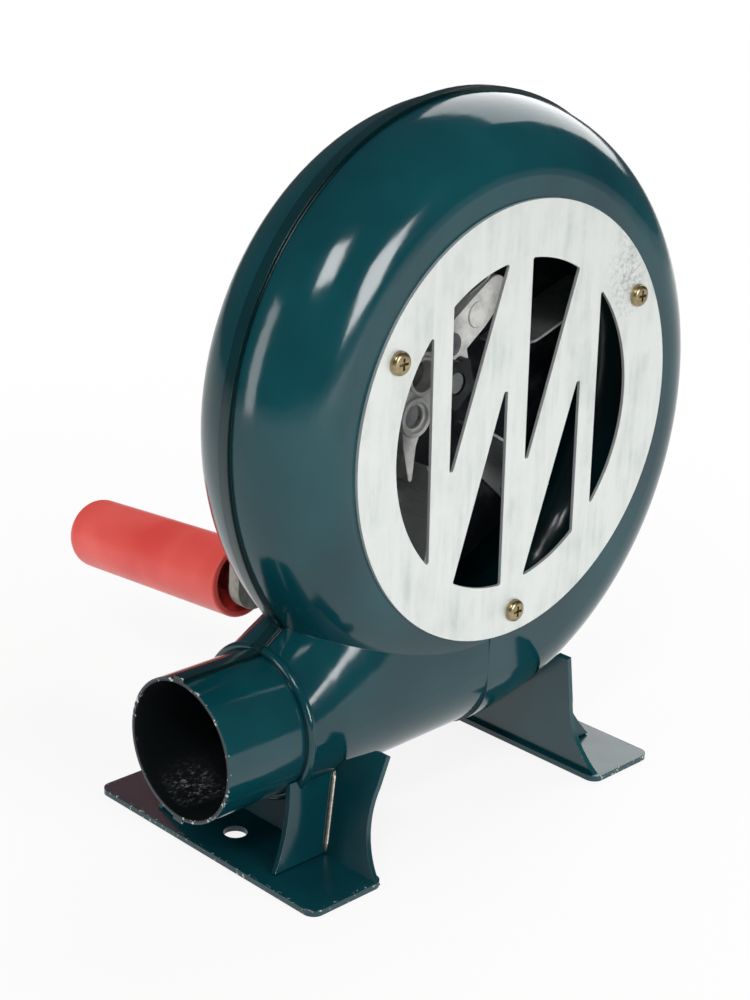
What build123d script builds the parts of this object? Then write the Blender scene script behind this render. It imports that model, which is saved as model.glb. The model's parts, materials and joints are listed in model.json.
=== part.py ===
from build123d import *
from math import acos, atan2, cos, degrees, hypot, pi, radians, sin, sqrt, tan
import os

os.makedirs("parts", exist_ok=True)

# Hand crank forge blower. X to the right (the outlet points to -X), Y to the back (the
# crank side), Z up, in mm. The origin is midway between the two foot bolts, on the floor.

# ---- feet -------------------------------------------------------------------------------
hole_pitch = 136.0        # from one foot bolt hole to the other
foot_hole_d = 8.0
foot_sheet = 2.0
foot_inner_x = 52.0       # bend line of each flange
flange_w = 31.0
foot_len = 107.0          # along Y, centred on the bolt holes
foot_corner_r = 4.0
web_waist = 41.5          # half width of a web where it is narrowest
web_waist_h = 28.0
ear_w = 5.0               # the ear left standing each side of the saddle cut
left_lean = 22.0          # degrees that the web leans in under the casing
left_ear_h = 38.5
right_lean = 9.5
right_ear_h = 45.5
gusset_y = 27.5           # half distance between the gussets of a foot
gusset_sheet = 2.0
gusset_lean = 16.0
gusset_edge_gap = 6.0     # from a gusset's lower corner to the flange's outer edge

# ---- casing -----------------------------------------------------------------------------
sheet = 1.2
seam_y = -1.5             # plane where the two pressed shells meet
casing_x, casing_z = 24.5, 136.5
casing_r = 100.0
scroll_growth = 10.4      # how much larger the scroll's lower right arc is
scroll_turn = 57.5        # degrees from +X where that arc begins
front_depth = 28.0
rear_depth = 29.0
bulge_w = 23.0            # width of the rounded shoulder
pan_r = 71.0              # raised seat for the gearbox on the back
pan_depth = 2.5
lap_sheet = 1.3           # the front shell's rim laps over the rear one
lap_ahead = 1.5
lap_behind = 3.0
lap_gap = 0.05

# ---- outlet -----------------------------------------------------------------------------
mouth_r = 24.0
mouth_x = -93.1
mouth_z = 40.5
bead_x = -60.0
bead_r = 1.6
duct_r = 25.5             # just behind the bead
duct_floor_r = 27.0       # rounding of the duct's floor where it enters the scroll
duct_back_rise = 75.0     # height of the duct's crown there

# ---- inlet guard ------------------------------------------------------------------------
guard_x, guard_z = 26.0, 131.7
guard_r = 74.5
guard_sheet = 1.2
guard_turn = 2.1          # degrees
guard_hole_r = 55.7       # circle that the openings lie in
pattern_dx, pattern_dz = -2.3, 0.2
bar_corner_r = 0.8
lens_chord = 40.0         # straight edge of the two outer openings
outer_slot_x = -31.5      # upright edge of the outer pair of wedges
outer_slot_tip = -8.6
outer_slot_top = (-3.7, 62.0)
inner_slot_x = 4.8        # upright edge of the inner pair of wedges
inner_slot_tip = -12.9
inner_slot_top = (33.5, 62.0)
slot_tip_w = 1.7
inlet_r = 60.0            # hole in the front shell behind the guard
guard_screw_pcr = 66.5
guard_screw_angles = (30.0, 150.0, 270.0)
guard_screw_r = 2.0
guard_head_r = 3.9
guard_head_h = 2.2
guard_screw_len = 7.0

# ---- shafts -----------------------------------------------------------------------------
fan_x, fan_z = 26.0, 138.7
crank_offset = 43.4       # between the fan's axis and the crank's
crank_bearing = 162.2     # degrees from +X, seen from the guard
run_gap = 0.05            # radial, every shaft in its bush
fan_shaft_r = 4.0
fan_journal_r = 2.5
idler_pin_r = 2.0
crank_shaft_r = 6.0
crank_journal_r = 4.0
bush_wall = 2.0

# ---- gears ------------------------------------------------------------------------------
module = 0.8
pressure_angle = 25.0
backlash = 0.18
drive_teeth, idler_pinion_teeth = 60, 12
idler_teeth, fan_pinion_teeth = 36, 12
face_w_slow = 5.0         # drive gear and idler pinion
face_w_fast = 4.5         # idler gear and fan pinion
gear_gap = 0.5            # between one row of gears and the next face
pinion_collar_r = 3.2     # the idler pinion's collar, which carries the idler gear
drive_rim_r, drive_hub_r = 20.5, 10.0    # the thinned web of the drive gear lies between
drive_web_t = 3.2
drive_hole_r = 3.8
idler_hole_r = 2.6

# ---- gearbox ----------------------------------------------------------------------------
base_t = 3.5
box_wall = 2.5
tip_room = 1.2            # from the gear tips to the wall
cover_t = 2.5
crank_boss_h = 10.0       # above the roof over the drive gear
crank_boss_r = 11.0
fan_cap_h = 3.5           # above the roof over the idler gear
box_edge_r = 2.0
cover_flange_t = 4.0
fan_nose_r = 8.0          # the cover's outline round the fan shaft, before its wall
skin = 0.8                # metal left behind each blind bore
box_screw_r = 2.0
box_head_r = 3.8
box_head_h = 2.6
box_nut_r = 4.0
box_nut_h = 3.2
ear_r = 6.5
base_boss_r = 11.0
base_boss_len = 8.0       # reaches in through the rear shell

# ---- crank and grip ---------------------------------------------------------------------
crank_r = 94.1            # crank axis to the grip's pin
crank_rest = 270.9        # degrees from +X, seen from the guard
arm_t = 6.0
arm_hub_r = 13.0
arm_hub_h = 11.3          # the cast hub stands above the bar and hides its nut
arm_bore_r = 8.0          # recess of the hub round the nut
arm_seat_h = 4.8          # floor of that recess, above the arm's back
arm_end_r = 8.5
arm_mid_r = 7.0
arm_edge_r = 1.2
arm_gap = 0.7             # from the gearbox boss to the arm
square_w = 8.0
stud_r = 3.0
stud_tip = 0.8            # beyond the nut
washer_r, washer_t = 6.2, 1.2
nut_r, nut_h = 5.8, 4.0
key_w, key_h, key_len = 4.0, 4.0, 4.0
grip_d = 27.4
grip_end_d = 26.3
grip_len = 88.8
grip_cant = 4.8           # degrees that the pin leans outward
grip_recess_r = 11.6
grip_recess = 9.0
grip_end_fillet = 6.0
pin_r = 5.0
pin_tail_r = 3.5          # riveted into the arm
pin_collar_r = 7.5
pin_collar_h = 1.4
grip_gap = 0.4
pin_reach = 66.0          # length of pin inside the grip
ring_t = 1.5
ring_r = 7.0
ring_groove_r = 4.0

# ---- impeller ---------------------------------------------------------------------------
disc_r = 80.0
disc_t = 1.0
disc_y = 15.7             # front face of the disc
blade_count = 6
blade_turn = 13.0         # degrees from +X of the first blade
blade_in_r = 30.0
blade_depth = 20.0
blade_t = 1.0
blade_foot_w = 9.0
blade_foot_start = 12.0   # the bent foot is cut away beside the hub
blade_rivet_in, blade_rivet_out = 18.0, 10.0
blade_rake = 6.0          # degrees that each blade leans back from radial
rivet_r = 1.6
rivet_head_r = 3.0
rivet_head_h = 1.2
hub_face_y = 1.5          # front face of the hub casting
hub_plate_t = 5.0
hub_sleeve_r = 8.5
collar_r = 7.6
collar_lobe_r = 2.8
collar_lobe_in = 1.0      # the lobes' centres lie this far inside the collar's rim
collar_turn = 56.0
collar_h = 3.0
hub_pin_r = 4.1
hub_eye_r = 5.5


def slab(shape, y0, y1):
    """A sketch drawn with its X to the right and its Y up, from y0 back to y1."""
    return extrude(Plane(origin=(0, y1, 0), x_dir=(1, 0, 0), z_dir=(0, -1, 0)) * shape, y1 - y0)


def disc(centre, r):
    return Pos(*centre) * Circle(r)


def rod(centre, r, y0, y1):
    return slab(disc(centre, r), y0, y1)


def tube(centre, r_out, r_in, y0, y1):
    return rod(centre, r_out, y0, y1) - rod(centre, r_in, y0 - 1, y1 + 1)


def hull(*discs):
    """The outline that wraps discs given as (x, z, r)."""
    edges = []
    for x, z, r in discs:
        edges += disc((x, z), r).edges()
    return make_hull(edges)


def polar(centre, r, angle):
    return (centre[0] + r * cos(radians(angle)), centre[1] + r * sin(radians(angle)))


def save(shape, node):
    export_step(shape, f"parts/{node}.step")


# ---- casing -----------------------------------------------------------------------------
casing_c = (casing_x, casing_z)
scroll_r = casing_r + scroll_growth
scroll_c = polar(casing_c, -scroll_growth, scroll_turn)
scroll_floor = scroll_c[1] - scroll_r


def quarter(centre, rx, ry, start):
    return EllipticalCenterArc(centre, rx, ry, start, arc_size=90)


def dome(centre, r, grow, first, sweep):
    """Both halves of the casing turned about a centre: flat faces and rounded shoulders."""
    rim, core = r + grow, r - bulge_w
    ahead, behind, shoulder = front_depth + grow, rear_depth + grow, bulge_w + grow
    front = quarter((core, 0), shoulder, ahead, 270)
    rear = quarter((core, 0), shoulder, behind, 0)
    sides = Polyline((core, behind), (0, behind), (0, -ahead), (core, -ahead))
    profile = make_face(Curve() + [front, rear, sides])
    turned = Rot(0, -first, 0) * revolve(profile, Axis.Y, sweep)
    return Pos(centre[0], seam_y, centre[1]) * turned


def duct_section(x, z, ahead, behind, down, up):
    arcs = [quarter((0, 0), behind, down, 270), quarter((0, 0), behind, up, 0),
            quarter((0, 0), ahead, up, 90), quarter((0, 0), ahead, down, 180)]
    return Plane(origin=(x, seam_y, z), x_dir=(0, 1, 0), z_dir=(1, 0, 0)) * make_face(Curve() + arcs)


def casing(grow, past_mouth=0.0):
    """The casing as one solid, with every wall moved outward by grow."""
    body = dome(casing_c, casing_r, grow, 0, 360)
    body += dome(scroll_c, scroll_r, grow, scroll_turn, scroll_turn + 90)
    body += rod(casing_c, pan_r + grow, seam_y, seam_y + rear_depth + pan_depth + grow)
    inner_end = duct_section(scroll_c[0], scroll_floor + duct_floor_r, front_depth + grow,
                             rear_depth + grow, duct_floor_r + grow, duct_back_rise + grow)
    bead_end = duct_section(bead_x, mouth_z, duct_r + grow, duct_r + grow, duct_r + grow,
                            duct_r + grow)
    body += loft([bead_end, inner_end], ruled=True)
    mouth = Plane(origin=(mouth_x - past_mouth, seam_y, mouth_z), x_dir=(0, 1, 0),
                  z_dir=(1, 0, 0)) * Circle(mouth_r + grow)
    return body + extrude(mouth, bead_x - mouth_x + past_mouth)


outer = casing(0)
bead = Pos(bead_x, seam_y, mouth_z) * Rot(0, 90, 0) * Torus(duct_r - 0.4, bead_r)
hollow = casing(-sheet, 1.0)
wall = outer + bead - hollow

big = 400.0
front_half = Pos(0, seam_y - big / 2, 0) * Box(2 * big, big, 2 * big)
lap_slab = Pos(0, seam_y + (lap_behind - lap_ahead) / 2, 0) * Box(2 * big, lap_ahead + lap_behind, 2 * big)

guard_c = (guard_x, guard_z)
fan_c = (fan_x, fan_z)
crank_c = polar(fan_c, crank_offset, crank_bearing)
guard_back = seam_y - front_depth
guard_face = guard_back - guard_sheet
pan_face = seam_y + rear_depth + pan_depth

lap_outer = casing(lap_sheet) & lap_slab
bead_clear = Pos(bead_x, seam_y, mouth_z) * Rot(0, 90, 0) * Torus(duct_r - 0.4, bead_r + lap_gap)
lap = lap_outer - hollow
lap -= (casing(lap_gap) + bead_clear) - front_half
front_shell = (wall & front_half) + lap
front_shell -= rod(guard_c, inlet_r, guard_back - 5, seam_y)
screw_spots = [polar(guard_c, guard_screw_pcr, a + guard_turn) for a in guard_screw_angles]
for spot in screw_spots:
    front_shell -= rod(spot, guard_screw_r, guard_back - 5, guard_back + 5)

rear_shell = wall - front_half

# ---- gear train: places and planes --------------------------------------------------------
stage_slow = module * (drive_teeth + idler_pinion_teeth) / 2
stage_fast = module * (idler_teeth + fan_pinion_teeth) / 2
fan_corner = degrees(acos((crank_offset**2 + stage_fast**2 - stage_slow**2)
                          / (2 * crank_offset * stage_fast)))
idler_c = polar(fan_c, stage_fast, crank_bearing + fan_corner)
base_y = pan_face
slow_y = base_y + base_t + gear_gap
fast_y = slow_y + face_w_slow + gear_gap      # and inner face of the roof over the drive gear
cover_y = fast_y + face_w_fast + gear_gap     # inner face of the roof over the idler gear
drive_roof_y = fast_y + cover_t
roof_y = cover_y + cover_t
cap_y = roof_y + fan_cap_h
boss_y = drive_roof_y + crank_boss_h
arm_y = boss_y + arm_gap


def bearing(a, b):
    """Angle from a to b, in degrees."""
    return degrees(atan2(b[1] - a[1], b[0] - a[0]))


def gear(centre, teeth, toward, gap_there, y0, width, bore_r):
    """A spur gear with a tooth, or a gap, that points toward another centre."""
    alpha = radians(pressure_angle)
    pitch_r = module * teeth / 2
    base_r, tip_r, root_r = pitch_r * cos(alpha), pitch_r + module, pitch_r - 1.25 * module
    half_tooth = pi / (2 * teeth) - backlash / (2 * pitch_r) + tan(alpha) - alpha
    start_r = max(base_r, root_r)
    flank = []
    for step in range(4):
        r = start_r + (tip_r - start_r) * step / 3
        a = acos(base_r / r)
        flank.append((r, half_tooth - tan(a) + a))
    if root_r < base_r:
        flank.insert(0, (root_r, flank[0][1]))
    first = bearing(centre, toward) + (180 / teeth if gap_there else 0)
    points = []
    for tooth in range(teeth):
        middle = first + tooth * 360 / teeth
        points += [polar(centre, r, middle - degrees(a)) for r, a in flank]
        points += [polar(centre, r, middle + degrees(a)) for r, a in reversed(flank)]
    outline = make_face(Polyline(*points, close=True))
    return slab(outline - disc(centre, bore_r), y0, y0 + width)


# ---- casing shells ------------------------------------------------------------------------
gearbox_hole_r = base_boss_r + 0.5
fan_bush_r = fan_shaft_r + run_gap + bush_wall
drive_tip = module * drive_teeth / 2 + module
idler_tip = module * idler_teeth / 2 + module
drum_ear = drive_tip + tip_room + box_wall + ear_r - 0.5
nose_ear = fan_nose_r + tip_room + box_wall + ear_r + 1.5
box_screws = [polar(fan_c, nose_ear, -48.0), polar(fan_c, nose_ear, 40.0),
              polar(crank_c, drum_ear, 80.0), polar(crank_c, drum_ear, -122.0)]
ear_roots = [fan_c, fan_c, crank_c, crank_c]
for spot in box_screws:
    rear_shell -= rod(spot, box_screw_r, pan_face - 5, pan_face + 5)
rear_shell -= rod(fan_c, gearbox_hole_r, pan_face - 5, pan_face + 5)
rear_shell -= rod(crank_c, gearbox_hole_r, pan_face - 5, pan_face + 5)
save(front_shell, "front_shell")
save(rear_shell, "rear_shell")


# ---- inlet guard --------------------------------------------------------------------------
def mirrored_wedge(edge_x, tip_z, top):
    """An opening between an upright edge and a slanting one, and its turned twin."""
    wedge = Polyline((edge_x, tip_z), (edge_x, 62.0), top, (edge_x + slot_tip_w, tip_z), close=True)
    opening = make_face(wedge) & Circle(guard_hole_r)
    opening = fillet(opening.vertices(), bar_corner_r)
    return opening + Rot(0, 0, 180) * opening


lens = Circle(guard_hole_r) & Pos(-lens_chord - 50, 0) * Rectangle(100, 200)
lens = fillet(lens.vertices(), bar_corner_r)
openings = lens + Rot(0, 0, 180) * lens
openings += mirrored_wedge(outer_slot_x, outer_slot_tip, outer_slot_top)
openings += mirrored_wedge(inner_slot_x, inner_slot_tip, inner_slot_top)
pattern = Pos(*guard_c) * Pos(pattern_dx, pattern_dz) * Rot(0, 0, guard_turn) * openings
inlet_guard = slab(disc(guard_c, guard_r) - pattern, guard_face, guard_back)
for spot in screw_spots:
    inlet_guard -= rod(spot, guard_screw_r, guard_face - 1, guard_back + 1)
save(inlet_guard, "inlet_guard")


def pan_screw(spot, r, head_r, head_h, under_head, length, way):
    """A pan head screw under whose head lies the plane y = under_head."""
    head = rod(spot, head_r, 0, head_h)
    head = fillet(head.edges().group_by(Axis.Y)[0], head_h * 0.7)
    slot = [slab(Pos(*spot) * Rectangle(*size), -1, head_h * 0.45)
            for size in ((head_r, 0.9), (0.9, head_r))]
    screw = head - slot[0] - slot[1] + rod(spot, r, head_h, head_h + length)
    if way < 0:
        screw = mirror(screw, Plane.XZ)
        return Pos(0, under_head + head_h, 0) * screw
    return Pos(0, under_head - head_h, 0) * screw


def group(pieces):
    return Compound(children=[p for piece in pieces for p in piece.solids()])


guard_screws = [pan_screw(spot, guard_screw_r, guard_head_r, guard_head_h, guard_face,
                          guard_screw_len, 1) for spot in screw_spots]
save(group(guard_screws), "guard_screws")


# ---- feet ---------------------------------------------------------------------------------
def foot(side, lean, ear_h):
    """An angle foot: a bolted flange, a saddle-cut web that leans in, and two gussets."""
    inner, outer_x = side * foot_inner_x, side * (foot_inner_x + flange_w)
    flange = Pos((inner + outer_x) / 2, 0) * RectangleRounded(flange_w, foot_len, foot_corner_r)
    flange = extrude(flange, foot_sheet)
    flange -= Pos(side * hole_pitch / 2, 0, 0) * Cylinder(foot_hole_d / 2, 3 * foot_sheet)
    half = foot_len / 2
    front_edge = ThreePointArc((-half, 0), (-web_waist - 2.2, web_waist_h * 0.45),
                               (-web_waist, web_waist_h))
    rear_edge = ThreePointArc((web_waist, web_waist_h), (web_waist + 2.2, web_waist_h * 0.45),
                              (half, 0))
    crown = Polyline((-web_waist, web_waist_h), (-web_waist, ear_h), (-web_waist + ear_w, ear_h),
                     (-web_waist / 2, web_waist_h), (0, ear_h), (web_waist / 2, web_waist_h),
                     (web_waist - ear_w, ear_h), (web_waist, ear_h), (web_waist, web_waist_h))
    outline = make_face(Curve() + [front_edge, crown, rear_edge, Line((half, 0), (-half, 0))])
    upright = extrude(Plane(origin=(0, 0, 0), x_dir=(0, 1, 0), z_dir=(1, 0, 0)) * outline, foot_sheet)
    if side < 0:
        upright = Pos(-foot_sheet, 0, 0) * upright
    web = Pos(inner, 0, 0) * Rot(0, -side * lean, 0) * Pos(side * foot_sheet, 0, 0) * upright
    web = split(web, Plane(origin=(0, 0, 0.4), z_dir=(0, 0, 1)), keep=Keep.TOP)
    reach = flange_w - gusset_edge_gap
    brace = Curve() + [Line((-side * 25, 0), (side * reach, 0)),
                       ThreePointArc((side * reach, 0), (side * (reach - 7), 11),
                                     (side * (reach - 12), 26)),
                       Polyline((side * (reach - 12), 26), (-side * 25, 26), (-side * 25, 0))]
    brace = Plane(origin=(0, 0, 0), x_dir=(1, 0, 0), z_dir=(0, -1, 0)) * make_face(brace)
    brace = extrude(brace, gusset_sheet)
    front_brace = Pos(inner, -gusset_y, foot_sheet) * Rot(-gusset_lean, 0, 0) * brace
    rear_brace = mirror(front_brace, Plane.XZ)
    slope = Pos(inner, 0, 0) * Rot(0, -side * lean, 0) * Pos(side * 2 * foot_sheet, 0, 0)
    outside = slope * Pos(side * 100, 0, 0) * Box(200, 400, 400)
    floor_side = Pos(0, 0, foot_sheet + 200) * Box(800, 800, 400)
    braces = [(b & outside & floor_side) - outer - bead - lap_outer for b in (front_brace, rear_brace)]
    return flange + (web - outer - bead - lap_outer), braces


left_foot, left_gussets = foot(-1, left_lean, left_ear_h)
right_foot, right_gussets = foot(1, right_lean, right_ear_h)
save(left_foot, "left_foot")
save(right_foot, "right_foot")
save(group(left_gussets), "left_gussets")
save(group(right_gussets), "right_gussets")


# ---- gearbox ------------------------------------------------------------------------------
def box_outline(margin):
    return hull((*crank_c, drive_tip + margin), (*idler_c, idler_tip + margin),
                (*fan_c, fan_nose_r + margin))


def upper_outline(margin):
    return hull((*idler_c, idler_tip + margin), (*fan_c, fan_nose_r + margin))


def with_ears(outline):
    for spot, root in zip(box_screws, ear_roots):
        outline += hull((*spot, ear_r), (*root, ear_r))
    return outline


plate_top = base_y + base_t
flange_top = plate_top + cover_flange_t
rim = with_ears(box_outline(tip_room + box_wall))
crank_bush_r = crank_shaft_r + run_gap + bush_wall
crank_tail_bush_r = crank_journal_r + run_gap + bush_wall
fan_tail_bush_r = fan_journal_r + run_gap + bush_wall
boss_end = base_y - base_boss_len
gearbox_base = slab(rim, base_y, plate_top)
for centre in (fan_c, crank_c):
    gearbox_base += rod(centre, base_boss_r, boss_end, base_y)
gearbox_base -= rod(fan_c, fan_bush_r, boss_end - 1, plate_top + 1)
gearbox_base -= rod(crank_c, crank_tail_bush_r, boss_end + skin, plate_top + 1)
gearbox_base -= rod(idler_c, idler_pin_r, base_y + skin, plate_top + 1)

lower_wall = slab(box_outline(tip_room + box_wall), plate_top, drive_roof_y)
lower_wall = fillet(lower_wall.edges().group_by(Axis.Y)[-1], box_edge_r)
upper_wall = slab(upper_outline(tip_room + box_wall), plate_top, roof_y)
upper_wall = fillet(upper_wall.edges().group_by(Axis.Y)[-1], box_edge_r)
gearbox_cover = lower_wall + upper_wall + slab(rim, plate_top, flange_top)
gearbox_cover += rod(crank_c, crank_boss_r, drive_roof_y - 1, boss_y)
gearbox_cover += rod(fan_c, fan_tail_bush_r + bush_wall, roof_y - 1, cap_y)
gearbox_cover -= slab(box_outline(tip_room), plate_top - 1, fast_y)
gearbox_cover -= slab(upper_outline(tip_room), plate_top - 1, cover_y)
gearbox_cover -= rod(fan_c, fan_tail_bush_r, cover_y - 1, cap_y - skin)
gearbox_cover -= rod(crank_c, crank_bush_r, fast_y - 1, boss_y + 1)
gearbox_cover -= rod(idler_c, idler_pin_r, cover_y - 1, roof_y - skin)
for spot in box_screws:
    gearbox_base -= rod(spot, box_screw_r, base_y - 1, plate_top + 1)
    gearbox_cover -= rod(spot, box_screw_r, plate_top - 1, flange_top + 1)
save(gearbox_base, "gearbox_base")
save(gearbox_cover, "gearbox_cover")

nut_face = pan_face - sheet
grip_through = flange_top - nut_face + box_nut_h
box_bolts = [pan_screw(s, box_screw_r, box_head_r, box_head_h, flange_top, grip_through, -1)
             for s in box_screws]
save(group(box_bolts), "gearbox_screws")


def hex_nut(centre, across_corners, hole_r, y0, y1):
    return slab(Pos(*centre) * (RegularPolygon(across_corners, 6) - Circle(hole_r)), y0, y1)


box_nuts = [hex_nut(s, box_nut_r, box_screw_r, nut_face - box_nut_h, nut_face) for s in box_screws]
save(group(box_nuts), "gearbox_nuts")
save(tube(fan_c, fan_bush_r, fan_shaft_r + run_gap, base_y - base_boss_len, plate_top), "fan_bush")
save(tube(fan_c, fan_tail_bush_r, fan_journal_r + run_gap, cover_y, cap_y - skin), "fan_tail_bush")
save(tube(crank_c, crank_bush_r, crank_shaft_r + run_gap, fast_y, boss_y), "crank_bush")
save(tube(crank_c, crank_tail_bush_r, crank_journal_r + run_gap, boss_end + skin, plate_top),
     "crank_tail_bush")
save(rod(idler_c, idler_pin_r, base_y + skin, roof_y - skin), "idler_pin")

# ---- idler: two gears turning together on the fixed pin -------------------------------------
idler_bore = idler_pin_r + run_gap
idler_gear = gear(idler_c, idler_teeth, fan_c, False, fast_y, face_w_fast, pinion_collar_r)
idler_hole_pcr = (pinion_collar_r + module * idler_teeth / 2) / 2
for k in range(5):
    idler_gear -= rod(polar(idler_c, idler_hole_pcr, 72 * k), idler_hole_r, fast_y - 1, cover_y)
idler_pinion = gear(idler_c, idler_pinion_teeth, crank_c, True, slow_y, face_w_slow + gear_gap, idler_bore)
idler_pinion += tube(idler_c, pinion_collar_r, idler_bore, fast_y, fast_y + face_w_fast)
save(idler_gear, "idler_gear")
save(idler_pinion, "idler_pinion")

# ---- crank shaft, gear and arm --------------------------------------------------------------
key_y = slow_y + (face_w_slow - key_len) / 2
arm_face = arm_y + arm_t
seat_y = arm_y + arm_seat_h
nut_y = seat_y + washer_t
stud_end = nut_y + nut_h + stud_tip
crank_shaft = rod(crank_c, crank_journal_r, boss_end + skin + 0.3, slow_y)
crank_shaft += rod(crank_c, crank_shaft_r, slow_y, arm_y)
crank_shaft += slab(Pos(*crank_c) * Rot(0, 0, crank_rest) * Rectangle(square_w, square_w), arm_y, seat_y)
crank_shaft += rod(crank_c, stud_r, seat_y, stud_end)
key_spot = Pos(*crank_c) * Rot(0, 0, crank_rest) * Pos(crank_shaft_r, 0)
key = slab(key_spot * Rectangle(key_h, key_w), key_y, key_y + key_len)
crank_shaft -= key
drive_gear = gear(crank_c, drive_teeth, idler_c, False, slow_y, face_w_slow, crank_shaft_r)
drive_gear -= slab(key_spot * Rectangle(key_h, key_w), slow_y - 1, slow_y + face_w_slow + 1)
web_ring = disc(crank_c, drive_rim_r) - disc(crank_c, drive_hub_r)
drive_gear -= slab(web_ring, slow_y + drive_web_t, slow_y + face_w_slow + 1)
for k in range(6):
    hole_spot = polar(crank_c, (drive_rim_r + drive_hub_r) / 2, 60 * k)
    drive_gear -= rod(hole_spot, drive_hole_r, slow_y - 1, slow_y + face_w_slow + 1)
save(crank_shaft, "crank_shaft")
save(key, "drive_key")
save(drive_gear, "drive_gear")

arm_end = polar(crank_c, crank_r, crank_rest)
arm_mid = polar(crank_c, crank_r / 2, crank_rest)
arm_shape = hull((*crank_c, arm_hub_r), (*arm_mid, arm_mid_r)) + hull((*arm_mid, arm_mid_r),
                                                                      (*arm_end, arm_end_r))
out_x, out_z = cos(radians(crank_rest)), sin(radians(crank_rest))
lean = radians(grip_cant)
pin_axis = (out_x * sin(lean), cos(lean), out_z * sin(lean))
pin_base = (arm_end[0], arm_face, arm_end[1])
pin_frame = Plane(origin=pin_base, x_dir=(out_z, 0, -out_x), z_dir=pin_axis)


def turned(r, s0, s1):
    """A cylinder on the grip's axis, from s0 to s1 beyond the arm's face."""
    return pin_frame * (Pos(0, 0, s0) * Cylinder(r, s1 - s0, align=(Align.CENTER, Align.CENTER, Align.MIN)))


arm_bar = slab(arm_shape, arm_y, arm_face)
arm_bar = fillet(arm_bar.edges().group_by(Axis.Y)[-1], arm_edge_r)
arm_hub = rod(crank_c, arm_hub_r, arm_y, arm_y + arm_hub_h)
arm_hub = fillet(arm_hub.edges().group_by(Axis.Y)[-1], arm_edge_r)
crank_arm = arm_bar + arm_hub - rod(crank_c, arm_bore_r, seat_y, arm_y + arm_hub_h + 1)
crank_arm -= slab(Pos(*crank_c) * Rot(0, 0, crank_rest) * Rectangle(square_w, square_w),
                  arm_y - 1, seat_y + 1)
crank_arm -= turned(pin_tail_r, -3 * arm_t, arm_t)
save(crank_arm, "crank_arm")
save(tube(crank_c, washer_r, stud_r, seat_y, nut_y), "crank_washer")
save(hex_nut(crank_c, nut_r, stud_r, nut_y, nut_y + nut_h), "crank_nut")

ring_s = pin_reach - 4.0
handle_pin = turned(pin_tail_r, -arm_t - 1, 0) & slab(arm_shape, arm_y, arm_face + 1)
handle_pin += turned(pin_collar_r, -2.0, pin_collar_h) & slab(disc(arm_end, 20), arm_face, arm_face + 9)
handle_pin += turned(pin_r, 0.5, pin_reach)
handle_pin -= turned(pin_r + 1, ring_s, ring_s + ring_t) - turned(ring_groove_r, ring_s, ring_s + ring_t)
save(handle_pin, "handle_pin")
save(turned(ring_r, ring_s, ring_s + ring_t) - turned(ring_groove_r, ring_s - 1, ring_s + ring_t + 1),
     "pin_ring")

# ---- grip -------------------------------------------------------------------------------------
grip_s = pin_collar_h + grip_gap
body = pin_frame * (Pos(0, 0, grip_s) * Cone(grip_d / 2, grip_end_d / 2, grip_len,
                                             align=(Align.CENTER, Align.CENTER, Align.MIN)))
ends = body.edges().sort_by(Axis(pin_base, pin_axis))
body = fillet(ends[-1], grip_end_fillet)
ends = body.edges().sort_by(Axis(pin_base, pin_axis))
body = fillet(ends[0], 1.0)
grip = body - turned(grip_recess_r, grip_s - 1, grip_s + grip_recess)
grip -= turned(pin_r + run_gap, grip_s, pin_reach + 2.0)
grip -= turned(ring_r + 0.4, ring_s - 0.4, ring_s + ring_t + 0.4)
save(grip, "grip")

# ---- fan shaft and pinion ---------------------------------------------------------------------
shaft_nose = hub_face_y - collar_h + 0.6
step_y = fast_y - 0.2
fan_shaft = rod(fan_c, fan_shaft_r, shaft_nose, step_y)
fan_shaft += rod(fan_c, fan_journal_r, step_y, cap_y - skin - 0.3)
fan_shaft = chamfer(fan_shaft.edges().group_by(Axis.Y)[0], 0.4)
save(fan_shaft, "fan_shaft")
save(gear(fan_c, fan_pinion_teeth, idler_c, True, fast_y, face_w_fast, fan_journal_r), "fan_pinion")

# ---- impeller ---------------------------------------------------------------------------------
pin_a, pin_b = (-0.6, 13.0), (-17.2, -9.2)
eye, mark, arm_tip, tail = (-14.0, 4.5), (11.4, 21.6), (20.0, 28.5), (-17.6, -31.0)


def at_fan(spot):
    return (fan_x + spot[0], fan_z + spot[1])


def limb(*discs):
    return hull(*[(*at_fan(spot), r) for spot, r in discs])


hub_shape = limb(((0, 0), 9.5), (pin_a, 6.6)) + limb(((0, 0), 9.5), (eye, 8.2))
hub_shape += limb((pin_a, 6.6), (mark, 6.4)) + limb((mark, 6.4), (arm_tip, 5.4))
hub_shape += limb((eye, 8.2), (pin_b, 7.0)) + limb((pin_b, 7.0), ((0, 0), 6.0))
hub_shape += limb((pin_b, 5.6), ((-18.6, -19.0), 3.0)) + limb(((-18.6, -19.0), 3.0), (tail, 0.9))
hub_back = hub_face_y + hub_plate_t
fan_hub = slab(hub_shape, hub_face_y, hub_back)
fan_hub += rod(fan_c, hub_sleeve_r, hub_back - 1, disc_y)
for spot, r in ((pin_a, 6.0), (pin_b, 6.0), (arm_tip, 4.6), ((-18.4, -18.0), 2.8)):
    fan_hub += rod(at_fan(spot), r, hub_back - 1, disc_y)
fan_hub += tube(at_fan(pin_b), 6.9, 5.4, hub_face_y - 1.4, hub_face_y)
fan_hub += tube(at_fan(eye), 6.6, hub_eye_r, hub_face_y - 0.7, hub_face_y)
fan_hub += rod(at_fan(mark), 4.6, hub_face_y - 0.6, hub_face_y)
fan_hub -= rod(at_fan(eye), hub_eye_r, hub_face_y - 2, hub_back + 1)
fan_hub -= rod(fan_c, fan_shaft_r, hub_face_y - 5, disc_y + 1)
fan_disc = tube(fan_c, disc_r, fan_shaft_r, disc_y, disc_y + disc_t)
disc_back = disc_y + disc_t
hub_pins = []
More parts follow.
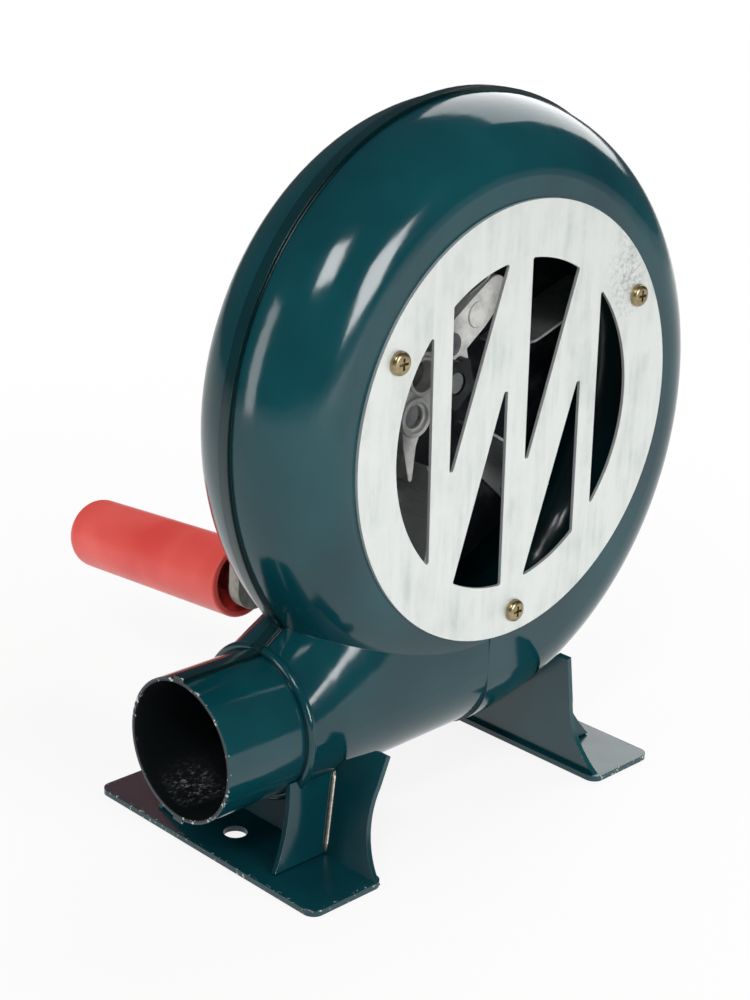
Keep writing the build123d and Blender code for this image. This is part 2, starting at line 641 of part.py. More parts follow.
for spot, face in ((pin_a, hub_face_y - 0.5), (pin_b, hub_face_y + 0.8)):
    stem = rod(at_fan(spot), hub_pin_r, face, disc_back)
    fan_hub -= rod(at_fan(spot), hub_pin_r, hub_face_y - 5, disc_y + 1)
    fan_disc -= rod(at_fan(spot), hub_pin_r, disc_y - 1, disc_back + 1)
    hub_pins.append(stem + rod(at_fan(spot), hub_pin_r + 1.6, disc_back, disc_back + rivet_head_h))
save(group(hub_pins), "hub_pins")

collar_shape = disc(fan_c, collar_r)
for k in range(5):
    collar_shape += disc(polar(fan_c, collar_r - collar_lobe_in, 72 * k + collar_turn), collar_lobe_r)
fan_collar = slab(collar_shape - disc(fan_c, fan_shaft_r), hub_face_y - collar_h, hub_face_y)
save(fan_collar, "fan_collar")
save(tube(fan_c, fan_bush_r - 0.5, fan_shaft_r, disc_back, base_y - base_boss_len - 0.3), "fan_spacer")

blade_front = disc_y - blade_depth
blades, rivets = [], []
for k in range(blade_count):
    turn = blade_turn + 360 / blade_count * k
    root = polar(fan_c, blade_in_r, turn)
    span = disc_r - blade_in_r - 1.0
    place = Pos(root[0], 0, root[1]) * Rot(0, -turn - blade_rake, 0)
    plate = Plane(origin=(0, blade_t / 2, 0), x_dir=(1, 0, 0), z_dir=(0, -1, 0))
    side = Polyline((0, blade_front + 7), (7, blade_front), (span - 12, blade_front),
                    (span, blade_front + 12), (span, disc_y), (0, disc_y), close=True)
    side = fillet(make_face(side).vertices().group_by(Axis.Y)[0], 4.0)
    leaf = extrude(side, blade_t)
    foot_strip = Pos((span + blade_foot_start) / 2, disc_y - blade_t / 2, -blade_foot_w / 2) * Box(
        span - blade_foot_start, blade_t, blade_foot_w)
    blade = place * (leaf + foot_strip)
    for reach in (blade_rivet_in, span - blade_rivet_out):
        spot = place * Pos(reach, 0, -blade_foot_w / 2)
        x, z = spot.position.X, spot.position.Z
        blade -= rod((x, z), rivet_r, disc_y - 5, disc_y + 1)
        fan_disc -= rod((x, z), rivet_r, disc_y - 1, disc_back + 1)
        rivets.append(rod((x, z), rivet_head_r, disc_y - blade_t - rivet_head_h, disc_y - blade_t)
                      + rod((x, z), rivet_r, disc_y - blade_t, disc_back)
                      + rod((x, z), rivet_head_r, disc_back, disc_back + rivet_head_h))
    blades.append(blade)
save(group(blades), "fan_blades")
save(group(rivets), "blade_rivets")
save(fan_hub, "fan_hub")
save(fan_disc, "fan_disc")
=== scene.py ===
import json
import math

import bmesh
import bpy
from mathutils import Matrix, Vector


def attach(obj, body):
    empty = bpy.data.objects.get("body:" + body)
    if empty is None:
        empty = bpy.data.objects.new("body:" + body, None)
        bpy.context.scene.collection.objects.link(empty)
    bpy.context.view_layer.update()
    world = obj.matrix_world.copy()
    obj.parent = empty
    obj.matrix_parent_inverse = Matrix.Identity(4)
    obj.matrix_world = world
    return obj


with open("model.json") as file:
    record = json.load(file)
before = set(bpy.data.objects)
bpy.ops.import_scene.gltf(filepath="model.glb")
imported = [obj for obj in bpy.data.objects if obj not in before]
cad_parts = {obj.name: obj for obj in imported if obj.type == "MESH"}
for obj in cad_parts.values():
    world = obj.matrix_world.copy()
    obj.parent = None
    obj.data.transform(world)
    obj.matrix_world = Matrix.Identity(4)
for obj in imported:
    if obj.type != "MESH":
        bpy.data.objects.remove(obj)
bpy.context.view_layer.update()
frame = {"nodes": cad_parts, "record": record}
mm = 0.001


def toLinear(value):
    return value / 12.92 if value <= 0.04045 else ((value + 0.055) / 1.055) ** 2.4


def tone(hexText):  # sRGB hex to linear
    parts = [int(hexText[i:i + 2], 16) / 255 for i in (1, 3, 5)]
    return (*[toLinear(p) for p in parts], 1.0)


def newMaterial(name):
    made = bpy.data.materials.new(name)
    made.use_nodes = True
    made.node_tree.nodes.clear()
    return made, made.node_tree


def addNode(tree, kind, wires=None, **settings):
    # adds a node, and wires each named socket to a value, a socket or the first output of a node
    made = tree.nodes.new("ShaderNode" + kind)
    for key, value in settings.items():
        setattr(made, key, value)
    for socket, value in (wires or {}).items():
        if isinstance(value, bpy.types.Node):
            value = value.outputs[0]
        if isinstance(value, bpy.types.NodeSocket):
            tree.links.new(value, made.inputs[socket])
        else:
            made.inputs[socket].default_value = value
    return made


def mottle(tree, grainMm, detail=2.0, roughness=0.5, stretch=(1, 1, 1), turn=(0, 0, 0)):
    # uneven patches about grainMm wide, fixed to the object
    source = addNode(tree, "TexCoord").outputs["Object"]
    point = addNode(tree, "Mapping", {"Vector": source, "Scale": stretch, "Rotation": turn})
    return addNode(tree, "TexNoise", {"Vector": point, "Scale": 1 / (grainMm * mm), "Detail": detail,
                                      "Roughness": roughness})


def objectAxes(tree):
    source = addNode(tree, "TexCoord").outputs["Object"]
    split = addNode(tree, "SeparateXYZ", {0: source})
    return split.outputs["X"], split.outputs["Y"], split.outputs["Z"]


def near(tree, value, centreMm, halfMm, softMm):
    # 1 within half of the centre, falling to 0 over soft
    shift = addNode(tree, "Math", {0: value, 1: centreMm * mm}, operation="SUBTRACT")
    away = addNode(tree, "Math", {0: shift}, operation="ABSOLUTE")
    return addNode(tree, "MapRange", {"Value": away, "From Min": (halfMm + softMm) * mm, "From Max": halfMm * mm})


def reachOf(tree, a, b):
    # distance from the axis that a and b are measured from
    squareA = addNode(tree, "Math", {0: a, 1: a}, operation="MULTIPLY")
    squareB = addNode(tree, "Math", {0: b, 1: b}, operation="MULTIPLY")
    total = addNode(tree, "Math", {0: squareA, 1: squareB}, operation="ADD")
    return addNode(tree, "Math", {0: total}, operation="SQRT")


def finishMaterial(made, tree, colour, rough, normal, **sockets):
    wires = {"Base Color": colour, "Roughness": rough, "Normal": normal}
    wires.update({key.replace("_", " "): value for key, value in sockets.items()})
    shader = addNode(tree, "BsdfPrincipled", wires)
    addNode(tree, "OutputMaterial", {"Surface": shader})
    return made


enamel = {"base": "#05323A", "thin": "#084148", "bare": "#C4C8C4", "shadeMm": 45, "glossMm": 9, "rough": 0.10,
          "roughDrift": 0.06, "edgeMm": 0.35, "peelMm": 6.0, "peelDeepMm": 0.03, "runMm": 20.0, "runDeepMm": 0.22,
          "runStretch": (1, 1, 0.22), "bareRough": 0.3, "chipDeepMm": 0.06}
# where the front shell laps the rear one, along Y: the lap band, and more the grooves at its two lips, are painted
# darker as painted shade in the folded seam
seam = {"grimeAndShade": "#03100F", "frontLipMm": -3.05, "rearLipMm": 1.55, "lipHalfMm": 0.2, "grooveMm": 0.35, "lipShade": 0.85,
        "bandMm": -0.75, "bandHalfMm": 2.1, "bandSoftMm": 0.2, "bandShade": 0.5}
# inside is the near-black colour of the outlet pipe's bore: painted shade in the pipe's recess
pipe = {"inside": "#0C1316", "insideRough": 0.35, "yMm": -1.5, "zMm": 40.5, "wallMm": (23.5, 23.3), "endMm": (8, 0),
        "fleckMm": 0.9, "fleckStretch": (0.45, 1, 1), "fleckStrength": 0.55, "fleckTopMm": (28, 21),
        "fleckXMm": (-79, 4, 7), "fleckYMm": (8, 3, 6), "mouthMm": (-92.2, -92.9), "mouthChipMm": 2.4}
flange = {"endMm": (81.6, 82.7), "sideMm": (52.0, 53.2), "topMm": (2.6, 2.1), "chipMm": 1.6, "scuff": 0.10}


# painted shade: darkens the lap band and, more strongly, the grooves along its two lips
def seamPaintedShade(tree, y):
    frontLip = near(tree, y, seam["frontLipMm"], seam["lipHalfMm"], seam["grooveMm"])
    rearLip = near(tree, y, seam["rearLipMm"], seam["lipHalfMm"], seam["grooveMm"])
    lips = addNode(tree, "Math", {0: frontLip, 1: rearLip}, operation="MAXIMUM")
    lips = addNode(tree, "Math", {0: lips, 1: seam["lipShade"]}, operation="MULTIPLY")
    band = near(tree, y, seam["bandMm"], seam["bandHalfMm"], seam["bandSoftMm"])
    band = addNode(tree, "Math", {0: band, 1: seam["bandShade"]}, operation="MULTIPLY")
    return addNode(tree, "Math", {0: band, 1: lips}, operation="MAXIMUM")


# the bore of the outlet pipe, where the shell is painted near-black as painted shade
def pipeInside(tree, x, y, z):
    away = addNode(tree, "Math", {0: y, 1: pipe["yMm"] * mm}, operation="SUBTRACT")
    height = addNode(tree, "Math", {0: z, 1: pipe["zMm"] * mm}, operation="SUBTRACT")
    outer, inner = pipe["wallMm"]
    bore = addNode(tree, "MapRange", {"Value": reachOf(tree, away, height), "From Min": outer * mm,
                                      "From Max": inner * mm})
    far, close = pipe["endMm"]
    length = addNode(tree, "MapRange", {"Value": x, "From Min": far * mm, "From Max": close * mm})
    return addNode(tree, "Math", {0: bore, 1: length}, operation="MULTIPLY")


def pipeBare(tree, x, y, z, inside):
    # bare flecks low in the pipe, and chips round its mouth
    top, bottom = pipe["fleckTopMm"]
    low = addNode(tree, "MapRange", {"Value": z, "From Min": top * mm, "From Max": bottom * mm})
    low = addNode(tree, "Math", {0: low, 1: near(tree, x, *pipe["fleckXMm"])}, operation="MULTIPLY")
    low = addNode(tree, "Math", {0: low, 1: near(tree, y, *pipe["fleckYMm"])}, operation="MULTIPLY")
    grains = mottle(tree, pipe["fleckMm"], 5, 0.8, pipe["fleckStretch"])
    flecks = addNode(tree, "MapRange", {"Value": grains, "From Min": 0.53, "From Max": 0.62,
                                        "To Max": pipe["fleckStrength"]})
    place = addNode(tree, "Math", {0: inside, 1: low}, operation="MULTIPLY")
    bare = addNode(tree, "Math", {0: place, 1: flecks}, operation="MULTIPLY")
    start, end = pipe["mouthMm"]
    rim = addNode(tree, "MapRange", {"Value": x, "From Min": start * mm, "From Max": end * mm})
    nicks = addNode(tree, "MapRange", {"Value": mottle(tree, pipe["mouthChipMm"], 3, 0.6), "From Min": 0.60,
                                       "From Max": 0.64})
    chips = addNode(tree, "Math", {0: rim, 1: nicks}, operation="MULTIPLY")
    return addNode(tree, "Math", {0: bare, 1: chips}, operation="MAXIMUM")


def flangeBare(tree, x, y, z):
    # chips along the cut edges of the bolted flanges
    specks = addNode(tree, "MapRange", {"Value": mottle(tree, flange["chipMm"], 4, 0.7), "From Min": 0.60,
                                        "From Max": 0.63})
    ends = []
    for axis, (start, stop) in ((x, flange["endMm"]), (y, flange["sideMm"])):
        away = addNode(tree, "Math", {0: axis}, operation="ABSOLUTE")
        ends.append(addNode(tree, "MapRange", {"Value": away, "From Min": start * mm, "From Max": stop * mm}))
    edge = addNode(tree, "Math", {0: ends[0], 1: ends[1]}, operation="MAXIMUM")
    chips = addNode(tree, "Math", {0: specks, 1: edge}, operation="MULTIPLY")
    top, under = flange["topMm"]
    sheet = addNode(tree, "MapRange", {"Value": z, "From Min": top * mm, "From Max": under * mm})
    return addNode(tree, "Math", {0: chips, 1: sheet}, operation="MULTIPLY")


def stovedEnamel(name, wear):
    # stoving enamel on pressed steel: deep gloss with a slight orange peel and runs, chipped to bare metal at edges
    made, tree = newMaterial(name)
    shade = addNode(tree, "MapRange", {"Value": mottle(tree, enamel["shadeMm"], 3), "From Min": 0.35,
                                       "From Max": 0.7})
    colour = addNode(tree, "Mix", {0: shade, 6: tone(enamel["base"]), 7: tone(enamel["thin"])},
                     data_type="RGBA").outputs[2]
    edge = addNode(tree, "Bevel", {"Radius": enamel["edgeMm"] * mm}, samples=4)
    normal = addNode(tree, "Bump", {"Height": mottle(tree, enamel["peelMm"], 1.5), "Strength": 1.0,
                                    "Distance": enamel["peelDeepMm"] * mm, "Normal": edge})
    runs = mottle(tree, enamel["runMm"], 1.0, stretch=enamel["runStretch"])
    normal = addNode(tree, "Bump", {"Height": runs, "Strength": 1.0, "Distance": enamel["runDeepMm"] * mm,
                                    "Normal": normal})
    rough = addNode(tree, "MapRange", {"Value": mottle(tree, enamel["glossMm"], 3), "From Min": 0.3, "From Max": 0.8,
                                       "To Min": enamel["rough"], "To Max": enamel["rough"] + enamel["roughDrift"]})
    if wear == "none":
        return finishMaterial(made, tree, colour, rough, normal, IOR=1.5)
    x, y, z = objectAxes(tree)
    if wear == "shell":
        # painted shade along the seam's band and lip grooves
        colour = addNode(tree, "Mix", {0: seamPaintedShade(tree, y), 6: colour, 7: tone(seam["grimeAndShade"])},
                         data_type="RGBA").outputs[2]
        inside = pipeInside(tree, x, y, z)
        # painted shade: the shell turns near-black inside the outlet pipe's bore
        colour = addNode(tree, "Mix", {0: inside, 6: colour, 7: tone(pipe["inside"])}, data_type="RGBA").outputs[2]
        dull = addNode(tree, "Math", {0: inside, 1: pipe["insideRough"]}, operation="MULTIPLY")
        rough = addNode(tree, "Math", {0: rough, 1: dull}, operation="ADD")
        bare = pipeBare(tree, x, y, z, inside)
    else:
        bare = flangeBare(tree, x, y, z)
        rough = addNode(tree, "Math", {0: rough, 1: flange["scuff"]}, operation="ADD")
    colour = addNode(tree, "Mix", {0: bare, 6: colour, 7: tone(enamel["bare"])}, data_type="RGBA").outputs[2]
    dull = addNode(tree, "Math", {0: bare, 1: enamel["bareRough"]}, operation="MULTIPLY")
    rough = addNode(tree, "Math", {0: rough, 1: dull}, operation="ADD")
    coat = addNode(tree, "Math", {0: 1.0, 1: bare}, operation="SUBTRACT")
    normal = addNode(tree, "Bump", {"Height": coat, "Strength": 1.0, "Distance": enamel["chipDeepMm"] * mm,
                                    "Normal": normal})
    return finishMaterial(made, tree, colour, rough, normal, IOR=1.5)


guardSheet = {"pale": "#DFE3E1", "dull": "#C3CAC6", "grime": "#6E6C66", "streakMm": 5, "cloudMm": 16, "grimeMm": 1.6,
              "streakStretch": (1, 1, 0.12), "streakTurn": (0, math.radians(9), 0), "grimeTurn": (0, 0.7, 0),
              "centreMm": (26.0, 131.7), "screwReachMm": 66.5, "screwAngle": 32.1, "smudgeShiftMm": (-6, 9),
              "smudgeMm": (13, 20), "grimeStrength": 0.6, "edgeMm": 0.2, "streakDeepMm": 0.02, "grimeDeepMm": 0.03}


def galvanisedSheet():
    # hot zinc coated sheet: pale, softly mirrored, with rolling streaks and a smudge by the upper right screw
    made, tree = newMaterial("galvanisedSheet")
    streaks = mottle(tree, guardSheet["streakMm"], 5, 0.65, guardSheet["streakStretch"], guardSheet["streakTurn"])
    clouds = mottle(tree, guardSheet["cloudMm"], 4, 0.6)
    lines = addNode(tree, "MapRange", {"Value": streaks, "From Min": 0.4, "From Max": 0.68})
    patches = addNode(tree, "MapRange", {"Value": clouds, "From Min": 0.35, "From Max": 0.65})
    marks = addNode(tree, "Math", {0: lines, 1: patches}, operation="MULTIPLY")
    colour = addNode(tree, "Mix", {0: marks, 6: tone(guardSheet["pale"]), 7: tone(guardSheet["dull"])},
                     data_type="RGBA").outputs[2]
    x, y, z = objectAxes(tree)
    angle = math.radians(guardSheet["screwAngle"])
    aims = (guardSheet["screwReachMm"] * math.cos(angle), guardSheet["screwReachMm"] * math.sin(angle))
    sides = []
    for axis, centre, aim, shift, half in zip((x, z), guardSheet["centreMm"], aims, guardSheet["smudgeShiftMm"],
                                              guardSheet["smudgeMm"]):
        away = addNode(tree, "Math", {0: axis, 1: (centre + aim + shift) * mm}, operation="SUBTRACT")
        sides.append(addNode(tree, "Math", {0: away, 1: half * mm}, operation="DIVIDE"))
    spot = addNode(tree, "MapRange", {"Value": reachOf(tree, *sides), "From Min": 1.0, "From Max": 0.2})
    grimeAndShade = addNode(tree, "MapRange", {"Value": mottle(tree, guardSheet["grimeMm"], 5, 0.75,
                                                      turn=guardSheet["grimeTurn"]),
                                      "From Min": 0.48, "From Max": 0.62})
    grime = addNode(tree, "Math", {0: spot, 1: grimeAndShade}, operation="MULTIPLY")
    tint = addNode(tree, "Math", {0: grime, 1: guardSheet["grimeStrength"]}, operation="MULTIPLY")
    colour = addNode(tree, "Mix", {0: tint, 6: colour, 7: tone(guardSheet["grime"])}, data_type="RGBA").outputs[2]
    rough = addNode(tree, "MapRange", {"Value": clouds, "From Min": 0.3, "From Max": 0.7, "To Min": 0.34,
                                       "To Max": 0.5})
    edge = addNode(tree, "Bevel", {"Radius": guardSheet["edgeMm"] * mm}, samples=4)
    normal = addNode(tree, "Bump", {"Height": streaks, "Strength": 1.0, "Distance": guardSheet["streakDeepMm"] * mm,
                                    "Normal": edge})
    normal = addNode(tree, "Bump", {"Height": grime, "Strength": 1.0, "Distance": guardSheet["grimeDeepMm"] * mm,
                                    "Normal": normal})
    return finishMaterial(made, tree, colour, rough, normal, Metallic=0.6)


def platedSteel(name, pale, dark, rough):
    # bright or passivated zinc plate on small fasteners, and pale bare steel on the corner beads, which is a painted
    # highlight: smooth, faintly uneven colour
    made, tree = newMaterial(name)
    colour = addNode(tree, "Mix", {0: mottle(tree, 1.6, 3), 6: tone(pale), 7: tone(dark)},
                     data_type="RGBA").outputs[2]
    grain = mottle(tree, 0.5, 2)
    gloss = addNode(tree, "MapRange", {"Value": grain, "From Min": 0.3, "From Max": 0.7, "To Min": rough,
                                       "To Max": rough + 0.12})
    normal = addNode(tree, "Bump", {"Height": grain, "Strength": 1.0, "Distance": 0.02 * mm})
    return finishMaterial(made, tree, colour, gloss, normal, Metallic=1.0)


casting = {"smearMm": 7, "sandMm": 0.9, "sandDeepMm": 0.09, "waveMm": 6, "waveDeepMm": 0.25, "edgeMm": 0.5}


def castAlloy(name, pale, grey, metallic):
    # die cast alloy: pale satin skin with fine pits and grey smears
    made, tree = newMaterial(name)
    smear = addNode(tree, "MapRange", {"Value": mottle(tree, casting["smearMm"], 5, 0.65), "From Min": 0.42,
                                       "From Max": 0.66})
    colour = addNode(tree, "Mix", {0: smear, 6: tone(pale), 7: tone(grey)}, data_type="RGBA").outputs[2]
    sand = mottle(tree, casting["sandMm"], 3)
    edge = addNode(tree, "Bevel", {"Radius": casting["edgeMm"] * mm}, samples=4)
    normal = addNode(tree, "Bump", {"Height": sand, "Strength": 1.0, "Distance": casting["sandDeepMm"] * mm,
                                    "Normal": edge})
    normal = addNode(tree, "Bump", {"Height": mottle(tree, casting["waveMm"], 2), "Strength": 1.0,
                                    "Distance": casting["waveDeepMm"] * mm, "Normal": normal})
    rough = addNode(tree, "MapRange", {"Value": sand, "From Min": 0.3, "From Max": 0.7, "To Min": 0.38,
                                       "To Max": 0.58})
    return finishMaterial(made, tree, colour, rough, normal, Metallic=metallic)


def turnedSteel(name, pale, rough):
    # turned or ground steel: fine rings round the shaft's axis, which runs along Y
    made, tree = newMaterial(name)
    rings = mottle(tree, 0.35, 2, stretch=(0.15, 1, 0.15))
    colour = addNode(tree, "Mix", {0: mottle(tree, 6, 3), 6: tone(pale), 7: tone("#6D7073")},
                     data_type="RGBA").outputs[2]
    gloss = addNode(tree, "MapRange", {"Value": rings, "From Min": 0.3, "From Max": 0.7, "To Min": rough,
                                       "To Max": rough + 0.15})
    normal = addNode(tree, "Bump", {"Height": rings, "Strength": 1.0, "Distance": 0.015 * mm})
    return finishMaterial(made, tree, colour, gloss, normal, Metallic=1.0)


def sinteredBronze():
    # oil-soaked sintered bushes: dull gold with tiny pores
    made, tree = newMaterial("sinteredBronze")
    pores = mottle(tree, 0.4, 2)
    dark = addNode(tree, "MapRange", {"Value": pores, "From Min": 0.5, "From Max": 0.7})
    colour = addNode(tree, "Mix", {0: dark, 6: tone("#B98A4E"), 7: tone("#6B4A25")}, data_type="RGBA").outputs[2]
    normal = addNode(tree, "Bump", {"Height": pores, "Strength": 1.0, "Distance": 0.03 * mm})
    return finishMaterial(made, tree, colour, 0.45, normal, Metallic=1.0)


handle = {"bright": "#F4625A", "deep": "#E84C45", "driftMm": 30, "skinMm": 1.2, "skinDeepMm": 0.02, "sinkMm": 18,
          "sinkDeepMm": 0.3}


def mouldedPolyethylene():
    # moulded red handle: soft sheen, slight sink and colour drift along it
    made, tree = newMaterial("mouldedPolyethylene")
    drift = addNode(tree, "MapRange", {"Value": mottle(tree, handle["driftMm"], 2), "From Min": 0.35,
                                       "From Max": 0.65})
    colour = addNode(tree, "Mix", {0: drift, 6: tone(handle["bright"]), 7: tone(handle["deep"])},
                     data_type="RGBA").outputs[2]
    skin = mottle(tree, handle["skinMm"], 3)
    normal = addNode(tree, "Bump", {"Height": skin, "Strength": 1.0, "Distance": handle["skinDeepMm"] * mm})
    normal = addNode(tree, "Bump", {"Height": mottle(tree, handle["sinkMm"], 1), "Strength": 1.0,
                                    "Distance": handle["sinkDeepMm"] * mm, "Normal": normal})
    rough = addNode(tree, "MapRange", {"Value": skin, "From Min": 0.3, "From Max": 0.7, "To Min": 0.3,
                                       "To Max": 0.42})
    return finishMaterial(made, tree, colour, rough, normal, Subsurface_Weight=0.08,
                          Subsurface_Radius=(0.003, 0.0008, 0.0006), Subsurface_Scale=1.0)


def darkPaint(name, dark, rough):
    # thin dark paint or blacking on hidden steel, a little dusty
    made, tree = newMaterial(name)
    dust = addNode(tree, "MapRange", {"Value": mottle(tree, 10, 4, 0.6), "From Min": 0.5, "From Max": 0.75})
    film = addNode(tree, "Math", {0: dust, 1: 0.35}, operation="MULTIPLY")
    colour = addNode(tree, "Mix", {0: film, 6: tone(dark), 7: tone("#6B6F70")}, data_type="RGBA").outputs[2]
    normal = addNode(tree, "Bump", {"Height": mottle(tree, 1.5, 2), "Strength": 1.0, "Distance": 0.03 * mm})
    return finishMaterial(made, tree, colour, rough, normal)


def millSheet():
    # mill finish aluminium blades: pale with faint rolling lines
    made, tree = newMaterial("millFinishAluminium")
    lines = mottle(tree, 0.8, 3, stretch=(1, 0.1, 1))
    colour = addNode(tree, "Mix", {0: lines, 6: tone("#C9CCCC"), 7: tone("#9EA3A4")}, data_type="RGBA").outputs[2]
    rough = addNode(tree, "MapRange", {"Value": lines, "From Min": 0.3, "From Max": 0.7, "To Min": 0.3,
                                       "To Max": 0.48})
    normal = addNode(tree, "Bump", {"Height": lines, "Strength": 1.0, "Distance": 0.02 * mm})
    return finishMaterial(made, tree, colour, rough, normal, Metallic=0.4)


finishes = {
    "enamel": stovedEnamel("stovedEnamel", "none"),
    "shellEnamel": stovedEnamel("shellStovedEnamel", "shell"),
    "chippedEnamel": stovedEnamel("chippedStovedEnamel", "flange"),
    "galvanised_sheet": galvanisedSheet(),
    "yellow_zinc": platedSteel("yellowPassivatedZinc", "#BFB08C", "#77694C", 0.26),
    "cast_metal": castAlloy("castAluminium", "#BDBCB5", "#8B8A83", 0.3),
    # the fan hub gets a lighter copy of the cast alloy, near white and not metallic: painted light for the light that
    # reaches the hub through the guard
    "hubCasting": castAlloy("castAlloyPaintedLight", "#F0F0EC", "#C4C6C3", 0.0),
    "zinc_steel": platedSteel("brightZincPlate", "#C9CCCE", "#8D9194", 0.26),
    "ground_steel": turnedSteel("groundSteel", "#B9BCBE", 0.24),
    "gear_steel": turnedSteel("hobbedGearSteel", "#8A8C8E", 0.34),
    "bronze": sinteredBronze(),
    "red_plastic": mouldedPolyethylene(),
    "dark_steel": darkPaint("blackenedSteel", "#15191D", 0.4),
    "dark_enamel": darkPaint("darkDiscPaint", "#10141C", 0.45),
    "blade_sheet": millSheet(),
    # the corner beads' pale bare steel is a painted highlight along the feet's inner corners, where a thin strip of
    # light shows
    "beadHighlight": platedSteel("paleBeadHighlightSteel", "#B5B1A6", "#5C5A52", 0.34),
}
# nodes whose finish is a special case of their slot
specialFinish = {"front_shell": "shellEnamel", "rear_shell": "shellEnamel", "left_foot": "chippedEnamel",
                 "right_foot": "chippedEnamel", "fan_hub": "hubCasting"}
slotOf = {s["node"]: s["material_slot"] for s in frame["record"]["subparts"]}
for name, node in frame["nodes"].items():
    chosen = specialFinish.get(name, slotOf[name])
    for index in range(len(node.material_slots)):
        node.material_slots[index].material = finishes[chosen]
print("materials set on", len(frame["nodes"]), "nodes")

# the corners between the feet's webs and their gussets: startMm at the bend, lean as a slope over height
weldBead = {"radiusMm": 1.1, "ripples": 22, "rippleMm": 0.16, "sides": 10, "lowMm": 2.6, "highMm": 26.5,
            "webStartMm": {"left": -55.7, "right": 56.1}, "webBendMm": 1.5,
            "webLean": {"left": math.tan(math.radians(22.0)), "right": -math.tan(math.radians(9.5))},
            "gussetStartMm": 29.4, "gussetBendMm": 2.55, "gussetLean": -math.tan(math.radians(16.0))}


def cornerPoint(foot, sideY, z):
    x = weldBead["webStartMm"][foot] + weldBead["webLean"][foot] * (z - weldBead["webBendMm"])
    y = weldBead["gussetStartMm"] + weldBead["gussetLean"] * (z - weldBead["gussetBendMm"])
    return Vector((x, sideY * y, z)) * mm


def addWeldBead(name, foot, sideY):
    # a rippled bead laid up the corner, where the gusset was welded to the web; its pale bare-steel colour is a
    # painted highlight
    low, high = cornerPoint(foot, sideY, weldBead["lowMm"]), cornerPoint(foot, sideY, weldBead["highMm"])
    run = high - low
    bpy.ops.object.select_all(action="DESELECT")
    bpy.ops.mesh.primitive_cylinder_add(vertices=weldBead["sides"], radius=weldBead["radiusMm"] * mm,
                                        depth=run.length, end_fill_type="TRIFAN")
    bead = bpy.context.object
    bead.name = name
    bpy.ops.object.mode_set(mode="EDIT")
    bpy.ops.mesh.select_all(action="DESELECT")
    mesh = bmesh.from_edit_mesh(bead.data)
    for edge in mesh.edges:  # the long edges alone
        edge.select_set(abs(edge.verts[0].co.z - edge.verts[1].co.z) > 0.5 * run.length)
    bmesh.update_edit_mesh(bead.data)
    bpy.ops.mesh.subdivide(number_cuts=2 * weldBead["ripples"])
    mesh = bmesh.from_edit_mesh(bead.data)
    ripple = weldBead["rippleMm"] / weldBead["radiusMm"]
    for vert in mesh.verts:
        along = vert.co.z / run.length + 0.5
        swell = 1 + ripple * math.sin(2 * math.pi * weldBead["ripples"] * along)
        taper = min(1.0, 0.45 + 6 * min(along, 1 - along))  # thinner towards both ends
        vert.co.x *= swell * taper
        vert.co.y *= swell * taper
    bmesh.update_edit_mesh(bead.data)
    bpy.ops.object.mode_set(mode="OBJECT")
    bpy.ops.object.shade_smooth()
    turn = run.to_track_quat("Z", "Y").to_matrix().to_4x4()
    bead.matrix_world = Matrix.Translation((low + high) / 2) @ turn
    bpy.ops.object.transform_apply(location=True, rotation=True, scale=True)
    # pale bare steel: a painted highlight along the corner
    bead.data.materials.append(finishes["beadHighlight"])
    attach(bead, "housing")


for foot in ("left", "right"):
    for label, sideY in (("Front", -1), ("Rear", 1)):
        addWeldBead(foot + label + "Weld", foot, sideY)
print("weld beads laid in the feet")

# worldGloss is what glossy rays see: far dimmer than the white that the camera sees
studio = {"worldDiffuse": 0.42, "worldGloss": 0.07, "floor": "#ECECEA", "floorSize": 8, "floorDrop": 0.0002,
          "floorGlow": 0.86, "shadowReach": (0.15, 0.6), "mirrorReach": (0.55, 0.2)}
# places and sizes in metres, power in watts
softboxes = {
    "keySoftbox": {"place": (-0.9, -0.55, 1.25), "size": (0.4, 0.4), "power": 6.5},
    "frontSoftbox": {"place": (0.1, -1.55, 0.6), "size": (0.6, 0.6), "power": 14},
    "sideSoftbox": {"place": (-1.4, 0.5, 0.45), "size": (0.3, 1.0), "power": 4},
    "rimSoftbox": {"place": (1.2, 0.45, 0.95), "size": (1.0, 1.3), "power": 12},
}
lampTarget = (0.02, 0, 0.12)
# found by fitting the guard, the casing, the outlet and the feet to the photo
photoView = {"placeMm": (-447.3, -431.9, 327.8), "yaw": 45.39, "pitch": 19.94, "roll": -2.46, "lens": 71.306}


def makeFloor():
    bpy.ops.mesh.primitive_plane_add(size=studio["floorSize"], location=(0, 0, -studio["floorDrop"]))
    floor = bpy.context.object
    floor.name = "floor"
    made, tree = newMaterial("paleFloor")
    shader = addNode(tree, "BsdfPrincipled", {"Base Color": tone(studio["floor"]), "Roughness": 0.9,
                                              "Specular IOR Level": 0.0})
    glow = addNode(tree, "Emission", {"Color": (1, 1, 1, 1), "Strength": 1.0})
    path = addNode(tree, "LightPath")
    x, y, z = objectAxes(tree)
    reach = reachOf(tree, x, y)
    # past the white table, glossy rays meet a dim room
    far, close = studio["mirrorReach"]
    table = addNode(tree, "MapRange", {"Value": reach, "From Min": far, "From Max": close})
    mirrored = addNode(tree, "Math", {0: path.outputs["Is Glossy Ray"], 1: table}, operation="MULTIPLY")
    seen = addNode(tree, "Math", {0: path.outputs["Is Camera Ray"], 1: mirrored}, operation="MAXIMUM")
    seen = addNode(tree, "Math", {0: seen, 1: path.outputs["Is Transmission Ray"]}, operation="MAXIMUM")
    # the shadow shows close round the object, and further off the table runs into the white behind it
    close, far = studio["shadowReach"]
    fade = addNode(tree, "MapRange", {"Value": reach, "From Min": close, "From Max": far,
                                      "To Min": studio["floorGlow"], "To Max": 1.0})
    share = addNode(tree, "Math", {0: seen, 1: fade}, operation="MULTIPLY")
    surface = addNode(tree, "MixShader", {0: share, 1: shader, 2: glow})
    addNode(tree, "OutputMaterial", {"Surface": surface})
    floor.data.materials.append(made)


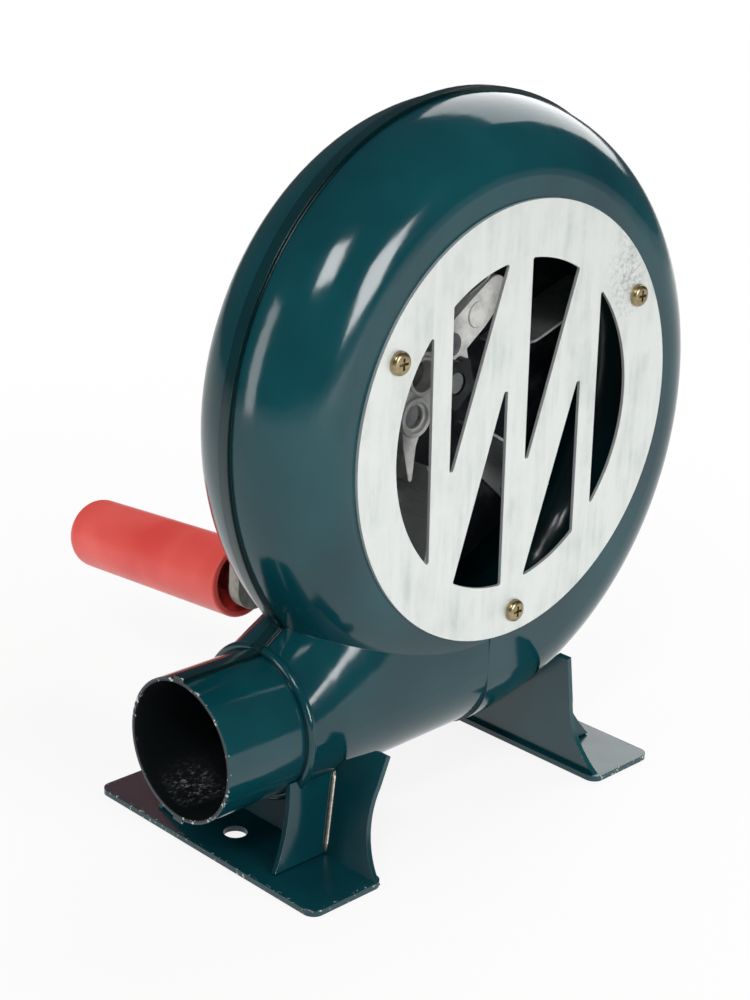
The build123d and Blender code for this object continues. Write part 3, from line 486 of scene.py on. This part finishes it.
def makeWorld():
    world = bpy.data.worlds.new("paleStudio")
    bpy.context.scene.world = world
    world.use_nodes = True
    tree = world.node_tree
    tree.nodes.clear()
    path = addNode(tree, "LightPath")
    # dim to glossy rays, which keeps the enamel's reflections deep, and white to the camera
    drop = addNode(tree, "Math", {0: path.outputs["Is Glossy Ray"], 1: studio["worldGloss"] - studio["worldDiffuse"]},
                   operation="MULTIPLY")
    rest = addNode(tree, "Math", {0: drop, 1: studio["worldDiffuse"]}, operation="ADD")
    seen = addNode(tree, "Math", {0: path.outputs["Is Camera Ray"], 1: path.outputs["Is Transmission Ray"]},
                   operation="MAXIMUM")
    lack = addNode(tree, "Math", {0: 1.0, 1: rest}, operation="SUBTRACT")
    lift = addNode(tree, "Math", {0: seen, 1: lack}, operation="MULTIPLY")
    shown = addNode(tree, "Math", {0: lift, 1: rest}, operation="ADD")
    back = addNode(tree, "Background", {"Color": (1, 1, 1, 1), "Strength": shown})
    addNode(tree, "OutputWorld", {"Surface": back})


def addSoftbox(name, place, size, power):
    bpy.ops.object.light_add(type="AREA", location=place)
    lamp = bpy.context.object
    lamp.name = name
    lamp.data.shape = "RECTANGLE"
    lamp.data.size, lamp.data.size_y = size
    lamp.data.energy = power
    lamp.visible_camera = False
    lamp.rotation_euler = (Vector(lampTarget) - Vector(place)).to_track_quat("-Z", "Y").to_euler()


def makeCamera():
    data = bpy.data.cameras.new("photoCamera")
    data.lens, data.sensor_width, data.sensor_fit = photoView["lens"], 36.0, "AUTO"
    data.clip_start, data.clip_end = 0.02, 50
    camera = bpy.data.objects.new("photoCamera", data)
    bpy.context.collection.objects.link(camera)
    turn = (Matrix.Rotation(math.radians(-photoView["yaw"]), 4, "Z")
            @ Matrix.Rotation(math.radians(90 - photoView["pitch"]), 4, "X")
            @ Matrix.Rotation(math.radians(-photoView["roll"]), 4, "Z"))
    camera.matrix_world = Matrix.Translation(Vector(photoView["placeMm"]) * mm) @ turn
    bpy.context.scene.camera = camera


makeFloor()
makeWorld()
for name, lampSettings in softboxes.items():
    addSoftbox(name, **lampSettings)
makeCamera()
bpy.context.scene.view_settings.view_transform = "Standard"
print("stage, light and camera set")
